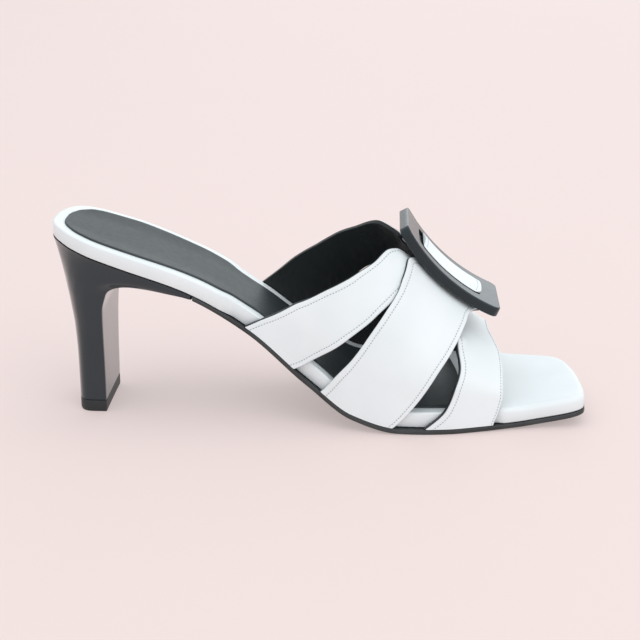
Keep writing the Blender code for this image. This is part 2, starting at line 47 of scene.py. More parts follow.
# Outsole: a thin sheet of sole leather under the shank and forefoot, from the tip of the
# heel's wing to the toe. It is cut to the sole's outline, its edge is trimmed square, inked
# and waxed, and it is cemented under the footbed.
shoe_length = 0.230
ball_width = 0.0800
heel_rise = 0.0755
toe_spring = 0.0050
outsole_thickness = 0.0022
outsole_start = 0.270 * shoe_length
clearance = 0.0003
SOLE = (
    ("along", "rise", "spring", "near", "far"),
    (0.000, 1.000, 0.00, 0.000, 0.000),
    (0.005, 0.998, 0.00, 0.110, 0.110),
    (0.020, 0.990, 0.00, 0.200, 0.225),
    (0.050, 0.963, 0.00, 0.286, 0.315),
    (0.090, 0.924, 0.00, 0.336, 0.350),
    (0.150, 0.865, 0.00, 0.358, 0.360),
    (0.260, 0.730, 0.00, 0.328, 0.328),
    (0.370, 0.515, 0.00, 0.300, 0.323),
    (0.480, 0.232, 0.00, 0.343, 0.388),
    (0.565, 0.065, 0.00, 0.425, 0.488),
    (0.650, 0.004, 0.00, 0.461, 0.555),
    (0.700, 0.000, 0.00, 0.457, 0.570),
    (0.740, 0.000, 0.00, 0.446, 0.573),
    (0.805, 0.000, 0.05, 0.404, 0.557),
    (0.865, 0.000, 0.15, 0.359, 0.510),
    (0.920, 0.000, 0.43, 0.328, 0.446),
    (0.955, 0.000, 0.67, 0.314, 0.388),
    (0.970, 0.000, 0.79, 0.306, 0.340),
    (0.982, 0.000, 0.89, 0.295, 0.264),
    (0.991, 0.000, 0.95, 0.277, 0.150),
    (0.997, 0.000, 0.98, 0.250, 0.020),
    (1.000, 0.000, 1.00, 0.150, -0.150),
)


def smooth(table, column, place):
    """Value of a table's column at a place, on a smooth curve that never overshoots."""
    names, rows = table[0], table[1:]
    value = names.index(column)
    if place <= rows[0][0]:
        return rows[0][value]
    if place >= rows[-1][0]:
        return rows[-1][value]
    last = len(rows) - 1
    i = max(k for k in range(last) if rows[k][0] <= place)

    def step_slope(k):
        return (rows[k + 1][value] - rows[k][value]) / (rows[k + 1][0] - rows[k][0])

    def slope(k):
        if k == 0:
            return step_slope(0)
        if k == last:
            return step_slope(last - 1)
        before, after = step_slope(k - 1), step_slope(k)
        if before * after <= 0:
            return 0.0
        return 2 * before * after / (before + after)

    step = rows[i + 1][0] - rows[i][0]
    t = (place - rows[i][0]) / step
    start, end = rows[i][value], rows[i + 1][value]
    blend = 3 * t**2 - 2 * t**3
    return (start * (1 - blend) + end * blend
            + slope(i) * step * (t**3 - 2 * t**2 + t)
            + slope(i + 1) * step * (t**3 - t**2))


def mix(a, b, share):
    return a + (b - a) * share


def ease(share):
    share = min(max(share, 0.0), 1.0)
    return share * share * (3 - 2 * share)


# The sole's curves are worked out once at half-millimetre steps and read between them.
curve_step = 0.0005
curve_count = int(shoe_length / curve_step) + 1


def sampled(table, column):
    """A table's column at every step along the shoe."""
    return [smooth(table, column, k * curve_step / shoe_length) for k in range(curve_count + 2)]


SOLE_CURVE = {column: sampled(SOLE, column) for column in ("rise", "spring", "near", "far")}


def sole_value(column, x):
    place = min(max(x / curve_step, 0.0), curve_count)
    k = int(place)
    values = SOLE_CURVE[column]
    return mix(values[k], values[min(k + 1, curve_count + 1)], place - k)


def ground(x):
    return heel_rise * sole_value("rise", x) + toe_spring * sole_value("spring", x)


def upright(x):
    run = 0.01 * shoe_length
    return hypot(1, (ground(x + run) - ground(x - run)) / (2 * run))


def seat(x):
    return ground(x) + outsole_thickness * upright(x) + clearance


def near_edge(x):
    return -ball_width * sole_value("near", x)


def far_edge(x):
    return ball_width * sole_value("far", x)


# The frame's origin lies under the middle of the shoe: this moves the sole's curves there.
outsole_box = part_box("outsole")
to_frame = Vector((outsole_box[1].x - shoe_length,
                   outsole_box[1].y - ball_width * max(SOLE_CURVE["far"]), 0.0))


def outline_side(edge, inset, start, end, steps):
    """One side of the sole's outline from heel to toe, moved inwards, at even distances."""
    inward = 1 if edge is near_edge else -1
    fine = 900
    spread = [mix(start, end, 0.5 - 0.5 * cos(pi * k / fine)) for k in range(fine + 1)]
    line = [Vector((x, edge(x))) for x in spread]
    moved = []
    for k, point in enumerate(line):
        along = line[min(k + 2, fine)] - line[max(k - 2, 0)]
        across = Vector((-along.y, along.x)).normalized() * inward
        moved.append(point + across * inset(point.x))
    lengths = [0.0]
    for a, b in zip(moved, moved[1:]):
        lengths.append(lengths[-1] + (b - a).length)
    points = []
    k = 0
    for i in range(steps + 1):
        target = lengths[-1] * i / steps
        while k < fine - 1 and lengths[k + 1] < target:
            k += 1
        share = (target - lengths[k]) / max(lengths[k + 1] - lengths[k], 1e-9)
        points.append(moved[k].lerp(moved[k + 1], min(max(share, 0), 1)))
    return points


def cross_lines(inset, start, end, steps=170, across_steps=24, bow=0.0):
    """Grid over the sole's plan: a row of points across for each step from heel to toe."""
    near = outline_side(near_edge, inset, start, end, steps)
    far = outline_side(far_edge, inset, start, end, steps)
    rows = []
    for i, (a, b) in enumerate(zip(near, far)):
        row = []
        for j in range(across_steps + 1):
            across = 0.5 - 0.5 * cos(pi * j / across_steps)
            point = a.lerp(b, mix(across, j / across_steps, 0.5))
            point.x += bow * 4 * across * (1 - across) * (i / steps)**6
            row.append(point)
        rows.append(row)
    return rows


def border(rows):
    """Indices of a grid's outer points in order round its edge."""
    last_row, last = len(rows) - 1, len(rows[0]) - 1
    loop = [(i, 0) for i in range(last_row + 1)]
    loop += [(last_row, j) for j in range(1, last)]
    loop += [(i, last) for i in range(last_row, -1, -1)]
    loop += [(0, j) for j in range(last - 1, 0, -1)]
    return loop


def ring_faces(rings):
    """Quads between closed rings that run anticlockwise seen from above, lowest first."""
    faces = []
    for low, high in zip(rings, rings[1:]):
        count = len(low)
        for k in range(count):
            following = (k + 1) % count
            faces.append([low[k], low[following], high[following], high[k]])
    return faces


def stacked(rings):
    """Points of rings of the same length, one ring after the other, and each ring's indices."""
    count = len(rings[0])
    loops = [list(range(k * count, (k + 1) * count)) for k in range(len(rings))]
    return [p for ring in rings for p in ring], loops


def quarter_round(step):
    """Shares of a rounded edge's radius, inwards and down, from its side up to its face."""
    return [(1 - cos(radians(angle)), 1 - sin(radians(angle))) for angle in range(0, 91, step)]


def in_scene(name, data):
    """New object with this data, linked into the scene."""
    made = bpy.data.objects.new(name, data)
    bpy.context.scene.collection.objects.link(made)
    return made


def add_piece(name, points, faces, finish, sharp=radians(50)):
    """Smooth-shaded closed mesh in the frame's place, riding on the shoe's one body."""
    mesh = bpy.data.meshes.new(name)
    mesh.from_pydata([tuple(Vector(p) + to_frame) for p in points], [], faces)
    mesh.validate()
    mesh.materials.append(finish)
    mesh.shade_smooth()
    mesh.set_sharp_from_angle(angle=sharp)
    made = in_scene(name, mesh)
    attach(made, "root")
    return made


def plate(name, layers, finish):
    """Closed plate from grids of the same size, lowest first: the first and last are its
    faces, and the ones between only lend their border to its side."""
    loop = border(layers[0])
    count_long, count_across = len(layers[0]), len(layers[0][0])
    points, bottom, topside = [], {}, {}
    for index, grid in ((bottom, layers[0]), (topside, layers[-1])):
        for i in range(count_long):
            for j in range(count_across):
                index[i, j] = len(points)
                points.append(grid[i][j])
    faces = []
    for i in range(count_long - 1):
        for j in range(count_across - 1):
            corners = ((i, j), (i + 1, j), (i + 1, j + 1), (i, j + 1))
            faces.append([topside[c] for c in corners])
            faces.append([bottom[c] for c in reversed(corners)])
    rings = [[bottom[c] for c in loop]]
    for grid in layers[1:-1]:
        rings.append(list(range(len(points), len(points) + len(loop))))
        points += [grid[i][j] for i, j in loop]
    rings.append([topside[c] for c in loop])
    return add_piece(name, points, faces + ring_faces(rings), finish)


def raised(rows, height):
    return [[(p.x, p.y, height(p.x)) for p in row] for row in rows]


def linear(hex_colour):
    """sRGB hex colour as linear red, green, blue and alpha."""
    channels = []
    for k in (0, 2, 4):
        c = int(hex_colour[k:k + 2], 16) / 255
        channels.append(c / 12.92 if c <= 0.04045 else ((c + 0.055) / 1.055)**2.4)
    return (*channels, 1.0)


def set_inputs(tree, node, inputs):
    """Sets a node's inputs to values, or links them to sockets or to nodes' first outputs."""
    for name, value in inputs.items():
        if isinstance(value, bpy.types.Node):
            value = value.outputs[0]
        if isinstance(value, bpy.types.NodeSocket):
            tree.links.new(value, node.inputs[name])
        else:
            node.inputs[name].default_value = value


def add_node(tree, kind, inputs, **settings):
    """Adds a node with its inputs and settings."""
    node = tree.nodes.new(kind)
    for name, value in settings.items():
        setattr(node, name, value)
    set_inputs(tree, node, inputs)
    return node


def new_material(name):
    """Principled material, with its tree and its place on the object."""
    made = bpy.data.materials.new(name)
    made.use_nodes = True
    place = add_node(made.node_tree, "ShaderNodeTexCoord", {}).outputs["Object"]
    return made, made.node_tree, place


def feed_shader(tree, even, colour, roughness=None, relief=None):
    """Feeds a material's shader, where even holds what is the same all over. One pattern runs the
    colour between a dark and a light tone, one the roughness between two values, and one raises
    the surface by a strength and a distance."""
    pattern, dark, light, *ends = colour
    tone = add_node(tree, "ShaderNodeValToRGB", {"Fac": pattern})
    for stop, position, shade in zip(tone.color_ramp.elements, ends or (0.0, 1.0), (dark, light)):
        stop.position = position
        stop.color = linear(shade)
    inputs = {"Base Color": tone, **even}
    if roughness:
        pattern, least, most = roughness
        inputs["Roughness"] = add_node(tree, "ShaderNodeMapRange", {
            "Value": pattern, "To Min": least, "To Max": most})
    if relief:
        pattern, strength, distance = relief
        inputs["Normal"] = add_node(tree, "ShaderNodeBump", {
            "Height": pattern, "Strength": strength, "Distance": distance})
    set_inputs(tree, tree.nodes["Principled BSDF"], inputs)


# Vegetable-tanned sole leather, skived and inked: a cool black, waxed edge and a duller,
# lightly scuffed underside, with fibres drawn along the shoe.
sole_leather, tree, place = new_material("inked_sole_leather")
drawn = add_node(tree, "ShaderNodeMapping", {"Vector": place, "Scale": (0.25, 1.0, 1.0)})
fibres = add_node(tree, "ShaderNodeTexNoise", {
    "Vector": drawn, "Scale": 900.0, "Detail": 4.0, "Roughness": 0.6})
scuffs = add_node(tree, "ShaderNodeTexNoise", {"Vector": place, "Scale": 60.0, "Detail": 5.0})
feed_shader(tree, {"IOR": 1.5}, (scuffs, "25282a", "3b3e40", 0.35, 0.70), roughness=(fibres, 0.36, 0.58),
            relief=(fibres, 0.25, 0.0002))

# Along the shoe: share of the footbed's full thickness, how much of the straps' thickness the
# footbed stands back from the sole's edge, and how much of the outsole is left where it is skived.
BAND = (
    ("along", "thickness", "set_back", "outsole"),
    (0.000, 0.90, 0.0, 0.76),
    (0.200, 0.90, 0.0, 0.76),
    (0.315, 0.92, 0.0, 0.80),
    (0.345, 0.93, 1.0, 0.82),
    (0.650, 1.00, 1.0, 1.00),
    (0.828, 1.00, 1.0, 1.00),
    (0.848, 1.00, 0.0, 1.00),
    (1.000, 1.00, 0.0, 1.00),
)


def skived(share):
    """Height at a share of the outsole's thickness, under an upper face that stays in place."""
    def at(x):
        cut = (1 - share) * smooth(BAND, "outsole", x / shoe_length)
        return ground(x) + (1 - cut) * outsole_thickness * upright(x)
    return at


# The outsole ends just short of the point where the two sides of its outline meet.
outsole_end = shoe_length - 0.0001
sole_layers = []
for inset, share in ((0.0007, 0.0), (0.0003, 0.06), (0.0001, 0.16), (0.0, 0.30), (0.0, 0.75),
                     (0.0001, 0.90), (0.0003, 1.0)):
    rows = cross_lines(lambda x, inset=inset: inset, outsole_start + clearance, outsole_end)
    sole_layers.append(raised(rows, skived(share)))
outsole = plate("outsole_sheet", sole_layers, sole_leather)
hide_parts("outsole")

# Heel: one moulded block with a curved breast and a thin wing that runs forward under the
# shank. It is ABS under several coats of black lacquer, nailed and cemented to the footbed.
lift_height = 0.0053
heel_width = 0.0345
heel_length = 0.0130
heel_lean = 0.0094
heel_back_round = 0.70
heel_climb_steps = 120
heel_side_steps = 44
heel_cross_steps = 16
BREAST = (
    ("climb", "forward", "up", "back"),
    (0.00, 0.000, 0.000, 0.000),
    (0.12, 0.003, 0.220, 0.200),
    (0.24, 0.006, 0.420, 0.380),
    (0.36, 0.020, 0.639, 0.570),
    (0.42, 0.053, 0.723, 0.650),
    (0.47, 0.088, 0.781, 0.700),
    (0.53, 0.177, 0.832, 0.750),
    (0.60, 0.318, 0.871, 0.800),
    (0.70, 0.545, 0.905, 0.855),
    (0.80, 0.760, 0.930, 0.905),
    (0.88, 0.912, 0.953, 0.945),
    (0.94, 1.000, 0.968, 0.985),
    (1.00, 1.000, 1.000, 1.000),
)
HEEL_SHAPE = (
    ("up", "lean", "widen", "squareness"),
    (0.00, 0.00, 0.00, 3.6),
    (0.25, 0.02, 0.07, 3.5),
    (0.45, 0.10, 0.21, 3.2),
    (0.60, 0.25, 0.40, 2.9),
    (0.75, 0.47, 0.62, 2.6),
    (0.90, 0.78, 0.86, 2.3),
    (1.00, 1.00, 1.00, 2.1),
)


def heel_roof(x):
    return seat(x) - clearance


def heel_ring(climb, bottom, inset=0.0):
    """Points round the heel, anticlockwise: lateral side, back, medial side, then across."""
    forward, up, back = (smooth(BREAST, column, climb) for column in ("forward", "up", "back"))
    tip = outsole_start
    front_x = mix(heel_lean + heel_length, tip, forward)
    back_x = heel_lean * (1 - smooth(HEEL_SHAPE, "lean", back))
    front_z = mix(bottom, heel_roof(front_x), up)
    back_z = mix(bottom, heel_roof(0.0), back)

    def side_point(share, edge):
        x = mix(front_x, back_x, share)
        sag = heel_roof(x) - mix(heel_roof(front_x), heel_roof(0.0), share)
        z = mix(front_z, back_z, share) + back**3 * sag
        height = min((z - bottom) / (heel_roof(x) - bottom), 1.0)
        power = smooth(HEEL_SHAPE, "squareness", height)
        rounded = max(1 - (1 - share) / heel_back_round, 0.0)
        block = heel_width / 2 * (1 - rounded**power)**(1 / power)
        seat_half = max(abs(edge(mix(tip, 0.0, share))) - clearance, 0.0)
        flush = ease((x - heel_lean - heel_length) / (tip - heel_lean - heel_length))
        half = mix(block, seat_half, mix(smooth(HEEL_SHAPE, "widen", height), 1.0, flush))
        return Vector((x, half if edge is far_edge else -half, z))

    shares = [sin(pi / 2 * k / heel_side_steps) for k in range(heel_side_steps + 1)]
    # two more places by the front corner, which is eased by a small radius
    shares = [0.0, 0.012, 0.03] + shares[2:]
    lateral = [side_point(share, far_edge) for share in shares]
    medial = [side_point(share, near_edge) for share in reversed(shares[:-1])]
    across = [medial[-1].lerp(lateral[0], ease(k / heel_cross_steps) * 0.5 + 0.5 * k / heel_cross_steps)
              for k in range(1, heel_cross_steps)]
    ring = lateral + medial + across
    # Ease the two front corners
    corners = (0, len(lateral) + len(medial) - 1)
    eased = [p.copy() for p in ring]
    for c in corners:
        before, after = ring[c - 1], ring[(c + 1) % len(ring)]
        eased[c] = ring[c] * 0.5 + (before + after) * 0.25
    if inset:
        centre = Vector((heel_lean + heel_length / 2, 0, 0))
        for k, p in enumerate(eased):
            out = Vector((p.x, p.y, 0)) - centre
            eased[k] = p - out.normalized() * inset
    return eased


def ring_stack(name, rings, finish):
    """Closed body from rings of the heel's kind, lowest first, capped with strips."""
    side = (len(rings[0]) - (heel_cross_steps - 1)) // 2
    points, loops = stacked(rings)
    faces = ring_faces(loops)
    for loop, upward in ((loops[-1], True), (loops[0], False)):
        lateral = loop[:side + 1]
        medial = loop[2 * side:side - 1:-1]
        front = [medial[0]] + loop[2 * side + 1:] + [lateral[0]]
        strips = [front + [lateral[1], medial[1]]]
        for k in range(1, side - 1):
            strips.append([medial[k], lateral[k], lateral[k + 1], medial[k + 1]])
        strips.append([medial[side - 1], lateral[side - 1], lateral[side]])
        faces += [strip if upward else strip[::-1] for strip in strips]
    return add_piece(name, points, faces, finish)


# Black nitro lacquer on a moulded block, sprayed and polished: deep gloss with a faint
# orange peel about 4 mm across, a little cloudy in shine.
lacquer, tree, place = new_material("black_heel_lacquer")
lacquer_tint = linear("cfe3ee")
peel = add_node(tree, "ShaderNodeTexNoise", {"Vector": place, "Scale": 260.0, "Detail": 1.0})
cloud = add_node(tree, "ShaderNodeTexNoise", {"Vector": place, "Scale": 45.0, "Detail": 3.0})
feed_shader(tree, {"IOR": 1.5, "Specular Tint": lacquer_tint, "Coat Weight": 0.6, "Coat Roughness": 0.08},
            (cloud, "171c21", "1c252b"), roughness=(cloud, 0.14, 0.24),
            relief=(peel, 0.08, 0.0002))

heel_bottom = lift_height + clearance
heel_rings = [heel_ring(k / heel_climb_steps, heel_bottom) for k in range(heel_climb_steps + 1)]
heel = ring_stack("heel_block", heel_rings, lacquer)
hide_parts("heel")

# Top piece: the replaceable rubber tread under the heel, cut to the heel's own foot and
# fixed with a dowel; a thin line shows where it meets the lacquer.
rubber, tree, place = new_material("moulded_heel_rubber")
grit = add_node(tree, "ShaderNodeTexNoise", {"Vector": place, "Scale": 2500.0, "Detail": 3.0})
feed_shader(tree, {"Roughness": 0.5}, (grit, "1b1f22", "24282b"), relief=(grit, 0.25, 0.0001))

lift_rings = []
for height, inset in ((0.0, 0.0007), (0.0002, 0.0003), (0.0006, 0.0001), (0.0012, 0.0), (0.0049, 0.0),
                      (0.00515, 0.0001), (lift_height, 0.0003)):
    lift_rings.append([Vector((p.x, p.y, height)) for p in heel_ring(0.0, heel_bottom, inset)])
lift = ring_stack("heel_top_piece", lift_rings, rubber)
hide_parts("top_lift")

# Footbed: a stiff insole board wrapped in white calf, whose edge is the white band all round.
# The leather is pulled over the board's softly rounded rim and cemented underneath.
footbed_thickness = 0.0068
footbed_edge_radius = 0.0009
footbed_toe_radius = 0.0030
toe_start = 0.80 * shoe_length
toe_run = 0.10 * shoe_length
strap_wall = 0.0018
seat_cup = 0.0009
cup_rim = 0.3125
cup_back = 0.012
cup_front = 0.25 * shoe_length
cup_run = 0.35 * shoe_length
footbed_start = 0.0005
SET_BACK_CURVE = sampled(BAND, "set_back")


def set_back(x):
    return SET_BACK_CURVE[int(min(max(x / curve_step, 0.0), curve_count))]


def footbed_top(x):
    return seat(x) + footbed_thickness * smooth(BAND, "thickness", x / shoe_length) * upright(x)


def edge_round(x):
    """Radius of the footbed's upper edge, softer round the toe."""
    return mix(footbed_edge_radius, footbed_toe_radius, ease((x - toe_start) / toe_run))


def footbed_inset(extra, round_share=0.0):
    """How far the footbed's side stands inside the sole's outline."""
    def inset(x):
        rounded = round_share * edge_round(x)
        return clearance + extra + rounded + set_back(x) * (strap_wall + clearance)
    return inset


def cup(x, y):
    """Shallow hollow of the footbed's middle, deepest under the heel."""
    near, far = near_edge(x), far_edge(x)
    across = (y - near) / max(far - near, 1e-6)
    depth = seat_cup * (1 - ease((x - cup_front) / cup_run))
    return depth * ease(min(across, 1 - across) / cup_rim) * ease(x / cup_back)


# Smooth white calf, drum-dyed and finished with a thin satin top coat: an even cool white
# with a hair-cell grain about 0.5 mm across, slightly cloudy where the hide is denser.
white_calf, tree, place = new_material("white_calf_leather")
cells = add_node(tree, "ShaderNodeTexVoronoi", {"Vector": place, "Scale": 1900.0}, feature="SMOOTH_F1")
pores = add_node(tree, "ShaderNodeTexNoise", {
    "Vector": place, "Scale": 700.0, "Detail": 5.0, "Roughness": 0.55})
hide = add_node(tree, "ShaderNodeTexNoise", {"Vector": place, "Scale": 38.0, "Detail": 2.0})
grain = add_node(tree, "ShaderNodeMath", {0: cells, 1: 0.5, 2: pores}, operation="MULTIPLY_ADD")
feed_shader(tree, {"IOR": 1.47, "Coat Weight": 0.12, "Coat Roughness": 0.35},
            (hide, "e4ebee", "ebf1f4", 0.30, 0.75), roughness=(pores, 0.36, 0.50),
            relief=(grain, 0.14, 0.0001))

footbed_layers = []
for inset, foot in ((0.0009, 0.0), (0.0003, 0.0001), (0.0, 0.0005)):
    rows = cross_lines(footbed_inset(inset), footbed_start, shoe_length)
    footbed_layers.append(raised(rows, lambda x, foot=foot: seat(x) + foot))
for inward, drop in quarter_round(10):
    rows = cross_lines(footbed_inset(0.0, inward), footbed_start, shoe_length)
    footbed_layers.append(raised(rows, lambda x, drop=drop: footbed_top(x) - drop * edge_round(x)))
footbed_layers[-1] = [[(x, y, z - cup(x, y)) for x, y, z in row] for row in footbed_layers[-1]]
footbed = plate("wrapped_footbed", footbed_layers, white_calf)
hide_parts("footbed")

# Sock: the thin dark leather lining glued on the footbed, pared at its edge and set in from
# the band, with its curved front end hidden under the front band.
sock_thickness = 0.0008
sock_inset = 0.0050
sock_far_inset = 0.0020
sock_front = 0.753 * shoe_length
sock_front_bow = 0.0040
sock_least_width = 0.03
sock_waist = 0.22 * shoe_length
sock_waist_run = 0.20 * shoe_length

# Dark grey goat lining, glazed: a smooth satin face with fine grain and a softly cloudy
# colour, so that the light from behind draws a pale streak along its middle.
sock_goat, tree, place = new_material("dark_goat_sock_leather")
cells = add_node(tree, "ShaderNodeTexVoronoi", {"Vector": place, "Scale": 1500.0}, feature="SMOOTH_F1")
pores = add_node(tree, "ShaderNodeTexNoise", {"Vector": place, "Scale": 420.0, "Detail": 6.0})
hide = add_node(tree, "ShaderNodeTexNoise", {"Vector": place, "Scale": 30.0, "Detail": 3.0})
feed_shader(tree, {"IOR": 1.47}, (hide, "282f32", "333b3e", 0.30, 0.72), roughness=(pores, 0.42, 0.56),
            relief=(cells, 0.20, 0.0001))

sock_layers = []
for inset, height in ((0.0, 0.00004), (0.0, 0.00035), (0.00012, 0.00062), (0.0004, sock_thickness)):
    rows = cross_lines(footbed_inset(sock_inset + inset), footbed_start, sock_front, bow=sock_front_bow)
    for row in rows:
        width = max(row[-1].y - row[0].y, sock_least_width)
        narrowed = sock_far_inset * ease((row[0].x - sock_waist) / sock_waist_run) / width
        for p in row:
            p.y -= (p.y - row[0].y) * narrowed
    sock_layers.append([[(p.x, p.y, footbed_top(p.x) - cup(p.x, p.y) + height * upright(p.x)) for p in row]
                        for row in rows])
sock = plate("sock_lining", sock_layers, sock_goat)
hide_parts("sock")

# Upper: four straps of white calf with turned edges, lined in black and sewn together where
# they cross. Two rear straps climb from the waist to the instep, the middle band goes over
# them under the buckle, and the front band crosses the toes. They are lasted under the footbed.
instep_height = 0.0545
leather_wall = 0.0011
tuck_run = 0.0050
tuck_gap = 0.00004
tuck_depth = 2.2 * strap_wall
least_slant = 0.45
flat_columns = 14
stitch_inset = 0.0022
stitch_groove = 0.00012
groove_spread = 0.00022
thread_sink = 0.55
edge_swell = 0.00005
swell_run = 0.0006
skin = 0.00002
lining_lip = 0.00025
hidden_inside = 0.0008
buckle_length = 0.0545
buckle_width = 0.0360
buckle_thickness = 0.0044
buckle_radius = 0.0780
buckle_tilt = radians(41.8)
buckle_place = 0.736 * shoe_length
buckle_aside = 0.0020
CREST = (
    ("along", "rear", "middle", "front"),
    (0.360, 0.75, 1.30, 0.60),
    (0.480, 1.11, 1.38, 0.66),
    (0.565, 1.27, 1.47, 0.70),
    (0.605, 1.27, 1.43, 0.70),
    (0.640, 1.22, 1.33, 0.68),
    (0.665, 1.12, 1.24, 0.66),
    (0.695, 0.97, 1.13, 0.645),
    (0.730, 0.84, 1.00, 0.61),
    (0.765, 0.74, 0.90, 0.560),
    (0.785, 0.68, 0.85, 0.505),
    (0.810, 0.60, 0.78, 0.425),
    (0.840, 0.50, 0.68, 0.340),
)
REAR_NEAR = (
    ("over", "rear", "front"),
    (0.00, 0.365, 0.457),
    (0.08, 0.408, 0.499),
    (0.16, 0.458, 0.557),
    (0.20, 0.504, 0.603),
    (0.24, 0.562, 0.647),
    (0.28, 0.607, 0.677),
    (0.32, 0.625, 0.692),
    (0.36, 0.637, 0.700),
    (0.40, 0.660, 0.705),
)
REAR_FAR = (
    ("over", "rear", "front"),
    (0.60, 0.652, 0.722),
    (0.64, 0.614, 0.716),
    (0.68, 0.597, 0.703),
    (0.72, 0.568, 0.680),
    (0.76, 0.520, 0.632),
    (0.80, 0.468, 0.571),
    (0.84, 0.435, 0.543),
    (0.92, 0.394, 0.497),
    (1.00, 0.360, 0.457),
)
MIDDLE_BAND = (
    ("over", "rear", "front"),
    (0.00, 0.506, 0.641),
    (0.08, 0.539, 0.685),
    (0.16, 0.591, 0.723),
    (0.20, 0.622, 0.744),
    (0.24, 0.650, 0.762),
    (0.28, 0.662, 0.773),
    (0.32, 0.667, 0.779),
    (0.38, 0.676, 0.790),
    (0.44, 0.686, 0.805),
    (0.56, 0.692, 0.805),
    (0.62, 0.692, 0.790),
    (0.68, 0.684, 0.779),
    (0.72, 0.664, 0.773),
    (0.76, 0.638, 0.762),
    (0.80, 0.612, 0.744),
    (0.84, 0.583, 0.723),
    (0.92, 0.535, 0.685),
    (1.00, 0.506, 0.641),
)
FRONT_BAND = (
    ("over", "rear", "front"),
    (0.00, 0.697, 0.826),
    (0.08, 0.735, 0.8365),
    (0.16, 0.751, 0.8415),
    (0.24, 0.761, 0.8415),
    (0.30, 0.756, 0.8415),
    (0.38, 0.745, 0.8400),
    (0.46, 0.738, 0.832),
    (0.54, 0.738, 0.824),
    (0.62, 0.745, 0.824),
    (0.70, 0.756, 0.828),
    (0.76, 0.761, 0.830),
    (0.84, 0.750, 0.830),
    (0.92, 0.732, 0.827),
    (1.00, 0.690, 0.818),
)


def buckle_axis():
    """Centre of the buckle's curve, above and ahead of it, in x and z."""
    height = footbed_top(buckle_place) + instep_height
    return (buckle_place + buckle_radius * sin(buckle_tilt),
            height + buckle_radius * cos(buckle_tilt))


def under_buckle(x):
    """Height at which leather lies against the buckle, carried on straight past its ends."""
    centre_x, centre_z = buckle_axis()
    reach = buckle_radius + buckle_thickness + clearance
    half_turn = 0.5 * buckle_length / buckle_radius
    rear = centre_x - reach * sin(buckle_tilt + half_turn)
    front = centre_x - reach * sin(buckle_tilt - half_turn)
    nearest = min(max(x, rear), front)
    drop = sqrt(reach**2 - (nearest - centre_x)**2)
    return centre_z - drop + (nearest - centre_x) / drop * (x - nearest)


def rounded_path(corners, share):
    """Point at a share of a path that rounds every inner corner of a line of corners."""
    spans = len(corners) - 2
    i = min(int(share * spans), spans - 1)
    s = share * spans - i
    a, b, c = corners[i:i + 3]
    start = a if i == 0 else a.lerp(b, 0.5)
    end = c if i == spans - 1 else b.lerp(c, 0.5)
    return start * (1 - s)**2 + b * 2 * s * (1 - s) + end * s**2


def section(band, x):
    """Corners of a strap's outer path over the foot, from the medial sole edge across."""
    near, far, low, rim = near_edge(x), far_edge(x), seat(x), footbed_top(x)
    rise = instep_height * smooth(CREST, band, x / shoe_length)
    # The front band is a plain arch over the toes, in shares of half the width and of the rise
    if band == "front":
        middle = (near + far) / 2
        half = (far - near) / 2
        side = ((half, low), (half, rim), (0.98 * half, rim + 0.54 * rise), (0.60 * half, rim + rise))
        left = [Vector((middle - y, z)) for y, z in side]
        right = [Vector((middle + y, z)) for y, z in side]
        return left + [Vector((middle, rim + 1.04 * rise))] + right[::-1]
    flat = rim + rise
    if band == "middle":
        flat = min(flat, under_buckle(x))

    # The others go straight up the side to a rounded shoulder as wide as the buckle
    def side(edge, shoulder, outward):
        return [
            Vector((edge, low)),
            Vector((edge, rim)),
            Vector((mix(edge, shoulder, 0.04), mix(rim, flat, 0.36))),
            Vector((shoulder + outward * 0.07 * buckle_width, flat - 0.125 * buckle_width)),
            Vector((shoulder - outward * 0.11 * buckle_width, flat)),
        ]

    left = side(near, buckle_aside - buckle_width / 2, -1)
    right = side(far, buckle_aside + buckle_width / 2, 1)
    return left + [Vector((buckle_aside, flat))] + right[::-1]


def on_strap(band, x, over):
    y, z = rounded_path(section(band, x), over)
    return Vector((x, y, z))


def strap_normal(band, x, over):
    step_over, step_x = 0.004, 0.002 * shoe_length
    low, high = max(over - step_over, 0), min(over + step_over, 1)
    round_foot = on_strap(band, x, high) - on_strap(band, x, low)
    forward = on_strap(band, x + step_x, over) - on_strap(band, x - step_x, over)
    return forward.cross(round_foot).normalized()


# The middle band's surface a little past its edges, to lay the lower straps against its underside
cells_over, cells_along = 160, 70
cells_start, cells_end = 0.45 * shoe_length, 0.87 * shoe_length
middle_points = [on_strap("middle", mix(cells_start, cells_end, j / cells_along), i / cells_over)
                 for i in range(cells_over + 1) for j in range(cells_along + 1)]
middle_cells = []
for i in range(cells_over):
    for j in range(cells_along):
        a = i * (cells_along + 1) + j
        middle_cells.append((a, a + cells_along + 1, a + cells_along + 2, a + 1))
middle_surface = BVHTree.FromPolygons([tuple(p) for p in middle_points], middle_cells)


def edge_places(edges, over):
    """Where a strap's rear and front edge lie along the shoe at a place over the foot."""
    return [shoe_length * smooth(edges, column, over) for column in ("rear", "front")]


def under_middle(point):
    """How far inside the middle band's edges a point lies, and where over the foot."""
    found, normal, index, distance = middle_surface.find_nearest(point)
    i, j = divmod(index, cells_along)
    a = middle_points[i * (cells_along + 1) + j]
    b = middle_points[(i + 1) * (cells_along + 1) + j]
    share = min(max((found - a).dot(b - a) / (b - a).length_squared, 0.0), 1.0)
    over = (i + share) / cells_over
    rear, front = edge_places(MIDDLE_BAND, over)
    return min(found.x - rear, front - found.x), over, found.x


def tucked(point):
    """A lower strap's point, moved against the middle band's underside where they cross."""
    inside, over, x = under_middle(point)
    if inside < -tuck_run:
        return point
    outward = strap_normal("middle", x, over)
    depth = (on_strap("middle", x, over) - point).dot(outward)
    covered = ease(1 + inside / tuck_run)
    # Points far below the band aren't drawn up to it
    close = 1 - ease((depth - tuck_depth) / strap_wall)
    return point + outward * (covered * close * (depth - strap_wall - tuck_gap))


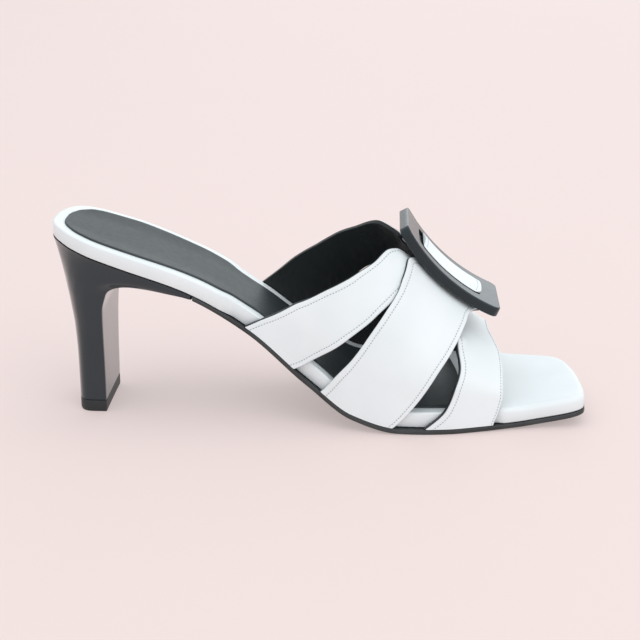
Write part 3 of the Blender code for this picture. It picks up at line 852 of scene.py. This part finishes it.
def strap_sheet(band, edges, steps, offsets, trim):
    """Points and normals of a strap's outer surface, a row for each step over the foot. offsets
    are distances in from its two edges, square to them, and trim moves the rear one in."""
    start, end = edges[1][0], edges[-1][0]
    lines = []
    for i in range(steps + 1):
        over = mix(start, end, i / steps)
        rear, front = edge_places(edges, over)
        lines.append((on_strap(band, rear, over), on_strap(band, front, over), rear, front, over))
    sheet = []
    for i, (back_point, front_point, rear, front, over) in enumerate(lines):
        before, after = lines[max(i - 1, 0)], lines[min(i + 1, steps)]
        run = front_point - back_point
        skews = []
        for k in (0, 1):
            tangent = after[k] - before[k]
            slant = tangent.cross(run).length / max(tangent.length * run.length, 1e-12)
            skews.append(1 / max(slant, least_slant))
        back_x = [rear + (front - rear) * (o + trim) * skews[0] / run.length for o in offsets]
        front_x = [front - (front - rear) * o * skews[1] / run.length for o in offsets]
        between = [mix(back_x[-1], front_x[-1], k / flat_columns) for k in range(1, flat_columns)]
        row = [on_strap(band, x, over) for x in back_x + between + front_x[::-1]]
        sheet.append(row if band == "middle" else [tucked(point) for point in row])
    normals = []
    for i, row in enumerate(sheet):
        above, below = sheet[max(i - 1, 0)], sheet[min(i + 1, steps)]
        line = []
        for j, point in enumerate(row):
            forward = row[min(j + 1, len(row) - 1)] - row[max(j - 1, 0)]
            round_foot = below[j] - above[j]
            line.append(forward.cross(round_foot).normalized())
        normals.append(line)
    return sheet, normals


def strap_piece(name, loops, across, finish):
    """Closed body from loops round a strap: across points on its outer face, then the inner
    face's the other way, without its edge points where the two faces share them."""
    points, rings = stacked(loops)
    faces = ring_faces(rings)
    for ring, order in ((rings[0], -1), (rings[-1], 1)):
        outer, inner = ring[:across], ring[across:][::-1]
        if len(inner) < across:
            inner = [outer[0]] + inner + [outer[-1]]
        for k in range(across - 1):
            corners = dict.fromkeys((outer[k], outer[k + 1], inner[k + 1], inner[k]))
            faces.append(list(corners)[::order])
    return add_piece(name, points, faces, finish, radians(60))


# Distances in from a strap's edge, closest where the edge turns and round the stitch groove
lining_offsets = [0.0, 0.00015, 0.0003, 0.00045, 0.0006, 0.0009, 0.0016, 0.0030]
leather_offsets = [0.0, 0.00003, 0.00012, 0.00026, 0.00044, 0.0006, 0.0010, 0.0015, 0.0019, 0.0021,
                   0.0022, 0.0023, 0.0025, 0.0031, 0.0042]


def edge_roll(o):
    """Depth of the turned edge's half round at a distance in from the edge."""
    roll = leather_wall / 2
    return roll - sqrt(max(roll**2 - max(roll - o, 0.0)**2, 0.0))


def leather_depth(o, stitched_at):
    """Depth of the leather's face at a distance in from its edge."""
    groove = stitch_groove * exp(-((o - stitched_at) / groove_spread)**2)
    swell = edge_swell * ease(o / swell_run) * ease((stitched_at - o) / swell_run)
    return edge_roll(o) + groove - swell


stitch_runs = []


def build_strap(name, band, edges, steps, trim=0.0, stitched_front=stitch_inset):
    """A strap's leather and lining, and the lines that its stitches follow. trim is how far
    the black lining shows past the leather along the rear edge."""
    sheet, normals = strap_sheet(band, edges, steps, leather_offsets, trim)
    across, count = len(sheet[0]), len(leather_offsets)
    flat = across - 2 * count
    depths = [leather_depth(o, stitch_inset) for o in leather_offsets] + [0.0] * flat
    depths += [leather_depth(o, stitched_front) for o in leather_offsets[::-1]]
    rim = [leather_wall - edge_roll(o) for o in leather_offsets]
    inner = rim + [leather_wall] * flat + rim[::-1]
    loops = []
    for row, line in zip(sheet, normals):
        outside = [p - n * d for p, n, d in zip(row, line, depths)]
        inside = [p - n * d for p, n, d in zip(row, line, inner)]
        loops.append(outside + inside[1:-1][::-1])
    leather = strap_piece(name, loops, across, white_calf)
    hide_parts("upper")

    # The lining stands a little in from the front edge, so its last two columns are left out
    rows, lines = strap_sheet(band, edges, steps, lining_offsets, 0.0)
    across = len(rows[0]) - 2
    depths = [lining_lip if o < trim else leather_wall + skin for o in lining_offsets]
    depths += [leather_wall + skin] * (across - len(depths))
    loops = []
    for row, line in zip(rows, lines):
        outside = [p - n * d for p, n, d in zip(row, line, depths)]
        inside = [p - n * (strap_wall - skin) for p, n in zip(row, line)][:across]
        loops.append(outside + inside[::-1])
    lining = strap_piece(name + "_lining", loops, across, black_lining)
    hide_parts("upper")

    for stitched_at, from_rear in ((stitch_inset, True), (stitched_front, False)):
        k = min(range(count), key=lambda n: abs(leather_offsets[n] - stitched_at))
        k = k if from_rear else len(sheet[0]) - 1 - k
        runs = [[]]
        for row, line in zip(sheet[1:-1], normals[1:-1]):
            if band == "middle" or under_middle(row[k])[0] <= hidden_inside:
                runs[-1].append((row[k] - line[k] * (stitch_groove * thread_sink), line[k]))
            else:
                runs.append([])
        stitch_runs.extend(run for run in runs if len(run) > 1)


# Black kid lining, thin and lightly glazed: close black with fine wrinkles that catch small
# glints where it bends, and a black cut edge.
black_lining, tree, place = new_material("black_kid_lining")
stretch = add_node(tree, "ShaderNodeMapping", {"Vector": place, "Scale": (1.0, 1.0, 0.35)})
wrinkle = add_node(tree, "ShaderNodeTexNoise", {
    "Vector": stretch, "Scale": 420.0, "Detail": 6.0, "Roughness": 0.65,
    "Distortion": 0.6})
hide = add_node(tree, "ShaderNodeTexNoise", {"Vector": place, "Scale": 50.0, "Detail": 3.0})
feed_shader(tree, {"IOR": 1.47}, (hide, "1a1f20", "2a3032"), roughness=(wrinkle, 0.20, 0.46),
            relief=(wrinkle, 0.90, 0.0006))

build_strap("middle_band", "middle", MIDDLE_BAND, 150)
build_strap("rear_strap_medial", "rear", REAR_NEAR, 80, trim=0.00035)
build_strap("rear_strap_lateral", "rear", REAR_FAR, 80, trim=0.00070)
build_strap("front_band", "front", FRONT_BAND, 130, trim=0.00050, stitched_front=0.0009)

# Stitching: lockstitch in grey-white polyester thread of about 0.35 mm, 1.3 mm a stitch, sunk
# in its groove along every turned edge. Its colour is a mid grey, darker than the thread itself,
# with painted shade of the sunken stitches and their needle holes.
thread, tree, place = new_material("polyester_thread_painted_shade")
twist = add_node(tree, "ShaderNodeTexNoise", {"Vector": place, "Scale": 3500.0, "Detail": 2.0})
# Both greys are the grey-white thread darkened by painted shade of its groove and needle holes.
feed_shader(tree, {"Roughness": 0.6}, (twist, "8f979b", "a9b0b4"), relief=(twist, 0.3, 0.0001))

stitch_tree = bpy.data.node_groups.new("stitch_row", "GeometryNodeTree")
STITCH_INPUTS = (
    ("Geometry", "NodeSocketGeometry", None),
    ("Pitch", "NodeSocketFloat", 0.00130),
    ("Length", "NodeSocketFloat", 0.00085),
    ("Thickness", "NodeSocketFloat", 0.00034),
    ("Lean", "NodeSocketFloat", 0.10),
    ("Seed", "NodeSocketInt", 7),
    ("Thread", "NodeSocketMaterial", None),
)
for name, kind, value in STITCH_INPUTS:
    socket = stitch_tree.interface.new_socket(name, in_out="INPUT", socket_type=kind)
    if value is not None:
        socket.default_value = value
stitch_tree.interface.new_socket("Geometry", in_out="OUTPUT", socket_type="NodeSocketGeometry")
given = stitch_tree.nodes.new("NodeGroupInput").outputs
line = add_node(stitch_tree, "GeometryNodeMeshToCurve", {"Mesh": given["Geometry"]})
evenly = add_node(stitch_tree, "GeometryNodeResampleCurve", {"Curve": line, "Length": given["Pitch"]},
                  mode="LENGTH")
outward = add_node(stitch_tree, "GeometryNodeInputNamedAttribute", {"Name": "outward"},
                   data_type="FLOAT_VECTOR")
tangent = add_node(stitch_tree, "GeometryNodeInputTangent", {})
minus = add_node(stitch_tree, "ShaderNodeMath", {0: given["Lean"], 1: -1.0}, operation="MULTIPLY")
lean = add_node(stitch_tree, "FunctionNodeRandomValue", {2: minus, 3: given["Lean"], "Seed": given["Seed"]},
                data_type="FLOAT")
along = add_node(stitch_tree, "FunctionNodeAlignRotationToVector", {"Vector": tangent}, axis="X")
facing = add_node(stitch_tree, "FunctionNodeAlignRotationToVector", {"Rotation": along, "Vector": outward},
                  axis="Z", pivot_axis="X")
turn = add_node(stitch_tree, "FunctionNodeAxisAngleToRotation", {
    "Axis": (0.0, 0.0, 1.0), "Angle": lean.outputs[1]})
turned = add_node(stitch_tree, "FunctionNodeRotateRotation", {"Rotation": facing, "Rotate By": turn},
                  rotation_space="LOCAL")
bead = add_node(stitch_tree, "GeometryNodeMeshUVSphere", {"Segments": 8, "Rings": 6, "Radius": 0.5})
size = add_node(stitch_tree, "ShaderNodeCombineXYZ", {
    "X": given["Length"], "Y": given["Thickness"], "Z": given["Thickness"]})
shaped = add_node(stitch_tree, "GeometryNodeTransform", {"Geometry": bead, "Scale": size})
placed = add_node(stitch_tree, "GeometryNodeInstanceOnPoints", {
    "Points": evenly, "Instance": shaped, "Rotation": turned})
real = add_node(stitch_tree, "GeometryNodeRealizeInstances", {"Geometry": placed})
soft = add_node(stitch_tree, "GeometryNodeSetShadeSmooth", {"Geometry": real})
sewn = add_node(stitch_tree, "GeometryNodeSetMaterial", {"Geometry": soft, "Material": given["Thread"]})
add_node(stitch_tree, "NodeGroupOutput", {"Geometry": sewn})


def sew(name, runs, **sizes):
    """Rows of stitches along runs of (point, outward direction), as one plain mesh."""
    points = [p + to_frame for run in runs for p, n in run]
    normals = [c for run in runs for p, n in run for c in n]
    lines, base = [], 0
    for run in runs:
        lines += [(base + k, base + k + 1) for k in range(len(run) - 1)]
        base += len(run)
    guide = bpy.data.meshes.new(name + "_guide")
    guide.from_pydata([tuple(p) for p in points], lines, [])
    guide.attributes.new("outward", "FLOAT_VECTOR", "POINT").data.foreach_set("vector", normals)
    holder = in_scene(name, guide)
    sewing = holder.modifiers.new("sewing", "NODES")
    sewing.node_group = stitch_tree
    given_values = {"Thread": thread, **sizes}
    for item in stitch_tree.interface.items_tree:
        if item.in_out == "INPUT" and item.name in given_values:
            sewing[item.identifier] = given_values[item.name]
    graph = bpy.context.evaluated_depsgraph_get()
    made = bpy.data.meshes.new_from_object(holder.evaluated_get(graph))
    holder.modifiers.clear()
    holder.data = made
    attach(holder, "root")


sew("strap_stitching", stitch_runs)

# Buckle: a curved plate with a window, moulded and sprayed in the heel's black lacquer. It
# lies on the middle band at the instep and is held by the leather tongue through its window.
buckle_corner = 0.0035
buckle_bar = 0.0080
buckle_end_bar = 0.0095
buckle_edge = 0.0006


def on_buckle(along, across, depth):
    """Point on the buckle: along its length, across it, and below its upper face."""
    centre_x, centre_z = buckle_axis()
    turn_by = buckle_tilt - along / buckle_radius
    reach = buckle_radius + depth
    return Vector((centre_x - reach * sin(turn_by), buckle_aside + across, centre_z - reach * cos(turn_by)))


long_steps, short_steps, corner_steps = 44, 26, 9
least_corner = 0.0002


def rounded_rectangle(length, width, corner, by=0.0, front_corner=None):
    """Closed outline moved in by a distance, anticlockwise from above, with evenly divided sides."""
    front_corner = corner if front_corner is None else front_corner
    corner, front_corner = (max(r - by, least_corner) for r in (corner, front_corner))
    length, width = length - 2 * by, width - 2 * by
    outline = []
    spots = (
        (length / 2, -width / 2, -1, 1, -pi / 2, front_corner),
        (length / 2, width / 2, -1, -1, 0.0, front_corner),
        (-length / 2, width / 2, 1, -1, pi / 2, corner),
        (-length / 2, -width / 2, 1, 1, pi, corner),
    )
    arcs = []
    for a, b, side_a, side_b, turn_by, r in spots:
        centre_a, centre_b = a + side_a * r, b + side_b * r
        arcs.append([(centre_a + r * cos(turn_by + pi / 2 * k / corner_steps),
                      centre_b + r * sin(turn_by + pi / 2 * k / corner_steps))
                     for k in range(corner_steps + 1)])
    for k, steps in enumerate((short_steps, long_steps, short_steps, long_steps)):
        outline += arcs[k]
        (a0, b0), (a1, b1) = arcs[k][-1], arcs[(k + 1) % 4][0]
        outline += [(mix(a0, a1, n / steps), mix(b0, b1, n / steps)) for n in range(1, steps)]
    return outline


def on_plate(outline, depth):
    """The points of an outline laid on the buckle's curve at a depth."""
    return [on_buckle(a, b, depth) for a, b in outline]


def rings_between(first, second, depth, bands=8):
    """Rings on the buckle from one outline to another, without these two."""
    rings = []
    for k in range(1, bands):
        outline = [(mix(a, c, k / bands), mix(b, d, k / bands)) for (a, b), (c, d) in zip(first, second)]
        rings.append(on_plate(outline, depth))
    return rings


window_length = buckle_length - 2 * buckle_end_bar
window_width = buckle_width - 2 * buckle_bar
window_edge = 0.0003
under_inset = 0.0008
outer = (buckle_length, buckle_width, buckle_corner)
inner = (window_length, window_width, buckle_corner / 2)
buckle_rings = []
for by, rise in ((under_inset, 0.0), (0.00025, 0.00018), (0.0, 0.0006)):
    buckle_rings.append(on_plate(rounded_rectangle(*outer, by), buckle_thickness - rise))
for inward, drop in quarter_round(15):
    buckle_rings.append(on_plate(rounded_rectangle(*outer, buckle_edge * inward), buckle_edge * drop))
top_outer, top_inner = rounded_rectangle(*outer, buckle_edge), rounded_rectangle(*inner, -window_edge)
buckle_rings += rings_between(top_outer, top_inner, 0.0)
for inward, drop in reversed(quarter_round(15)):
    buckle_rings.append(on_plate(rounded_rectangle(*inner, -window_edge * inward), window_edge * drop))
under_inner, under_outer = rounded_rectangle(*inner), rounded_rectangle(*outer, under_inset)
buckle_rings.append(on_plate(under_inner, buckle_thickness))
buckle_rings += rings_between(under_inner, under_outer, buckle_thickness)
buckle_points, buckle_loops = stacked(buckle_rings)

# The buckle's lacquer is the heel's, rubbed down to a softer shine that greys under the light.
buckle_lacquer, tree, place = new_material("satin_black_buckle_lacquer")
peel = add_node(tree, "ShaderNodeTexNoise", {"Vector": place, "Scale": 500.0, "Detail": 2.0})
cloud = add_node(tree, "ShaderNodeTexNoise", {"Vector": place, "Scale": 70.0, "Detail": 3.0})
feed_shader(tree, {"IOR": 1.5, "Specular Tint": lacquer_tint, "Coat Weight": 0.2, "Coat Roughness": 0.20},
            (cloud, "171b1e", "1b2529"), roughness=(cloud, 0.22, 0.34),
            relief=(peel, 0.06, 0.0002))

buckle = add_piece("buckle_plate", buckle_points, ring_faces(buckle_loops + [buckle_loops[0]]),
                   buckle_lacquer)
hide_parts("buckle")

# Tongue: a narrow padded strap of the same white calf that lies in the buckle's window, its
# square end just short of the rear bar and its rounded end lapped on the front bar.
tongue_gap = 0.0027
tongue_lap = 0.0004
tongue_width = window_width + 0.0007
tongue_wall = 0.0003
tongue_crown = 0.0012
tongue_edge = 0.00012
tongue_foot_inset = 0.0002
tongue_lift = 0.00004
tongue_length = window_length - tongue_gap + tongue_lap
tongue_middle = (tongue_gap + tongue_lap) / 2
tongue_corner = 0.0012
tongue_shape = (tongue_length, tongue_width, tongue_corner)
tongue_round = 0.0045


def tongue_rise(b):
    return tongue_crown * (1 - (2 * b / tongue_width)**2)


def on_tongue(a, b, height):
    """Point on the tongue, at a height over the plate's face."""
    return on_buckle(tongue_middle + a, b, -height)


tongue_rings = []
for by, height in ((tongue_foot_inset, tongue_lift), (0.0, 0.00022)):
    outline = rounded_rectangle(*tongue_shape, by, tongue_round)
    tongue_rings.append([on_tongue(a, b, height) for a, b in outline])
for inward, drop in quarter_round(15):
    height = tongue_wall - tongue_edge * drop
    rim = rounded_rectangle(*tongue_shape, tongue_edge * inward, tongue_round)
    tongue_rings.append([on_tongue(a, b, height + tongue_rise(b) * (1 - drop)) for a, b in rim])
count = len(tongue_rings[0])
tongue_points, tongue_loops = stacked(tongue_rings)
tongue_faces = ring_faces(tongue_loops)
# Both faces are closed by rows from side to side, the first and last being the square ends
first_near, first_far = corner_steps, corner_steps + short_steps
tongue_rows = count // 2 - short_steps
foot = rounded_rectangle(*tongue_shape, tongue_foot_inset, tongue_round)
for base, flat, top in ((0, foot, False), (tongue_loops[-1][0], rim, True)):
    rows = []
    for j in range(tongue_rows + 1):
        near, far = (first_near - j) % count, first_far + j
        if j == 0:
            row = [base + k for k in range(first_near, first_far + 1)]
        elif j == tongue_rows:
            row = [base + k for k in range(near, far - 1, -1)]
        else:
            row = [base + near]
            for k in range(1, short_steps):
                a = mix(flat[near][0], flat[far][0], k / short_steps)
                b = mix(flat[near][1], flat[far][1], k / short_steps)
                height = tongue_wall + tongue_rise(b) if top else tongue_lift
                row.append(len(tongue_points))
                tongue_points.append(on_tongue(a, b, height))
            row.append(base + far)
        rows.append(row)
    for ahead, behind in zip(rows, rows[1:]):
        for k in range(short_steps):
            quad = (ahead[k], ahead[k + 1], behind[k + 1], behind[k])
            tongue_faces.append(quad if top else quad[::-1])
tongue = add_piece("buckle_tongue", tongue_points, tongue_faces, white_calf)
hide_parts("buckle_tab")

# Under the tongue a sheet of the black lining leather fills the window, so the gaps round the tongue show
# dark.
backing_rings = []
for by, depth in ((0.0002, buckle_thickness + 0.0001), (0.0002, 0.0016), (0.0006, 0.0013)):
    backing_rings.append(on_plate(rounded_rectangle(*inner, by), depth))
backing_points, backing_loops = stacked(backing_rings)
backing = add_piece("window_backing", backing_points,
                    ring_faces(backing_loops) + [backing_loops[0][::-1], backing_loops[-1]],
                    black_lining)
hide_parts("buckle_tab")

tongue_stitch_inset = 0.0018
tongue_stitch_bow = 0.0012
tongue_stitch_half = 0.40 * tongue_width
tongue_stitch_steps = 16
tongue_runs = []
for end, sign, bow in ((tongue_length / 2, 1, tongue_stitch_bow), (-tongue_length / 2, -1, 0.0)):
    run = []
    for k in range(tongue_stitch_steps + 1):
        b = mix(-tongue_stitch_half, tongue_stitch_half, k / tongue_stitch_steps)
        a = tongue_middle + end - sign * (tongue_stitch_inset + bow * (2 * b / tongue_width)**2)
        top = on_buckle(a, b, -tongue_wall - tongue_rise(b))
        above = on_buckle(a, b, -0.01)
        run.append((top, (above - top).normalized()))
    tongue_runs.append(run)
sew("tongue_stitching", tongue_runs, Thickness=0.0003)

# Studio: a seamless sheet of pale pink acrylic, lit softly from below so that shadows stay
# light, soft light from overhead and in front, and a low soft box behind the shoe that greys
# the lacquer and draws the streak on the sock.
pink_glow = "f5e7e5"
sweep, tree, place = new_material("pink_acrylic_sweep")
mottle = add_node(tree, "ShaderNodeTexNoise", {"Vector": place, "Scale": 3.0, "Detail": 2.0})
feed_shader(tree, {"Roughness": 0.7, "Specular IOR Level": 0.2, "Emission Color": linear(pink_glow),
                   "Emission Strength": 0.42}, (mottle, "b4a5a2", "b6a7a4"))
floor_mesh = bpy.data.meshes.new("studio_floor")
floor_mesh.from_pydata([(-8, -8, 0), (8, -8, 0), (8, 8, 0), (-8, 8, 0)], [], [(0, 1, 2, 3)])
floor_mesh.materials.append(sweep)
studio_floor = in_scene("studio_floor", floor_mesh)

world = bpy.data.worlds.new("studio_air")
bpy.context.scene.world = world
world.use_nodes = True
air = world.node_tree
seen = add_node(air, "ShaderNodeLightPath", {})
light_air = air.nodes["Background"]
set_inputs(air, light_air, {"Color": linear("f6f9fa"), "Strength": 0.95})
seen_air = add_node(air, "ShaderNodeBackground", {"Color": linear(pink_glow), "Strength": 1.0})
both = add_node(air, "ShaderNodeMixShader", {"Fac": seen, 1: light_air, 2: seen_air})
set_inputs(air, air.nodes["World Output"], {"Surface": both})

LIGHTS = (
    # name, place, aimed at, size across and up, power, colour
    ("overhead_box", (0.10, -0.20, 1.60), (0.0, 0.0, 0.03), (1.8, 1.8), 5.5, "f9fbfd"),
    ("front_box", (1.2, -1.4, 0.95), (0.0, 0.0, 0.04), (1.4, 1.2), 6.5, "f9fbfd"),
    ("rear_box", (0.9, 3.0, 1.05), (0.0, 0.0, 0.05), (3.4, 1.5), 14.5, "eff8fd"),
)
for name, spot, aim, (across, up), power, colour in LIGHTS:
    lamp = bpy.data.lights.new(name, "AREA")
    lamp.shape = "RECTANGLE"
    lamp.size, lamp.size_y = across, up
    lamp.energy = power
    lamp.color = linear(colour)[:3]
    holder = in_scene(name, lamp)
    holder.location = spot
    holder.rotation_euler = (Vector(aim) - Vector(spot)).to_track_quat("-Z", "Y").to_euler()
    holder.visible_camera = False

# Camera: a long lens a little above the shoe's medial side, as the photograph has it.
camera = bpy.data.cameras.new("photo_camera")
camera.sensor_width = 36.0
camera.lens = 83.52
camera.clip_start = 0.01
camera_distance = 0.64997
azimuth, elevation, roll = radians(2.648), radians(18.923), radians(0.059)
aim = Vector((0.11492, 0.0, 0.03813)) + to_frame
back = Vector((sin(azimuth) * cos(elevation), -cos(azimuth) * cos(elevation), sin(elevation)))
right = Vector((cos(azimuth), sin(azimuth), 0.0))
up = back.cross(right)
turned_right = right * cos(roll) + up * sin(roll)
turned_up = up * cos(roll) - right * sin(roll)
camera_object = in_scene("photo_camera", camera)
camera_object.matrix_world = Matrix.Translation(aim + back * camera_distance) @ Matrix(
    (turned_right, turned_up, back)).transposed().to_4x4()
bpy.context.scene.camera = camera_object
bpy.context.scene.view_settings.view_transform = "Standard"
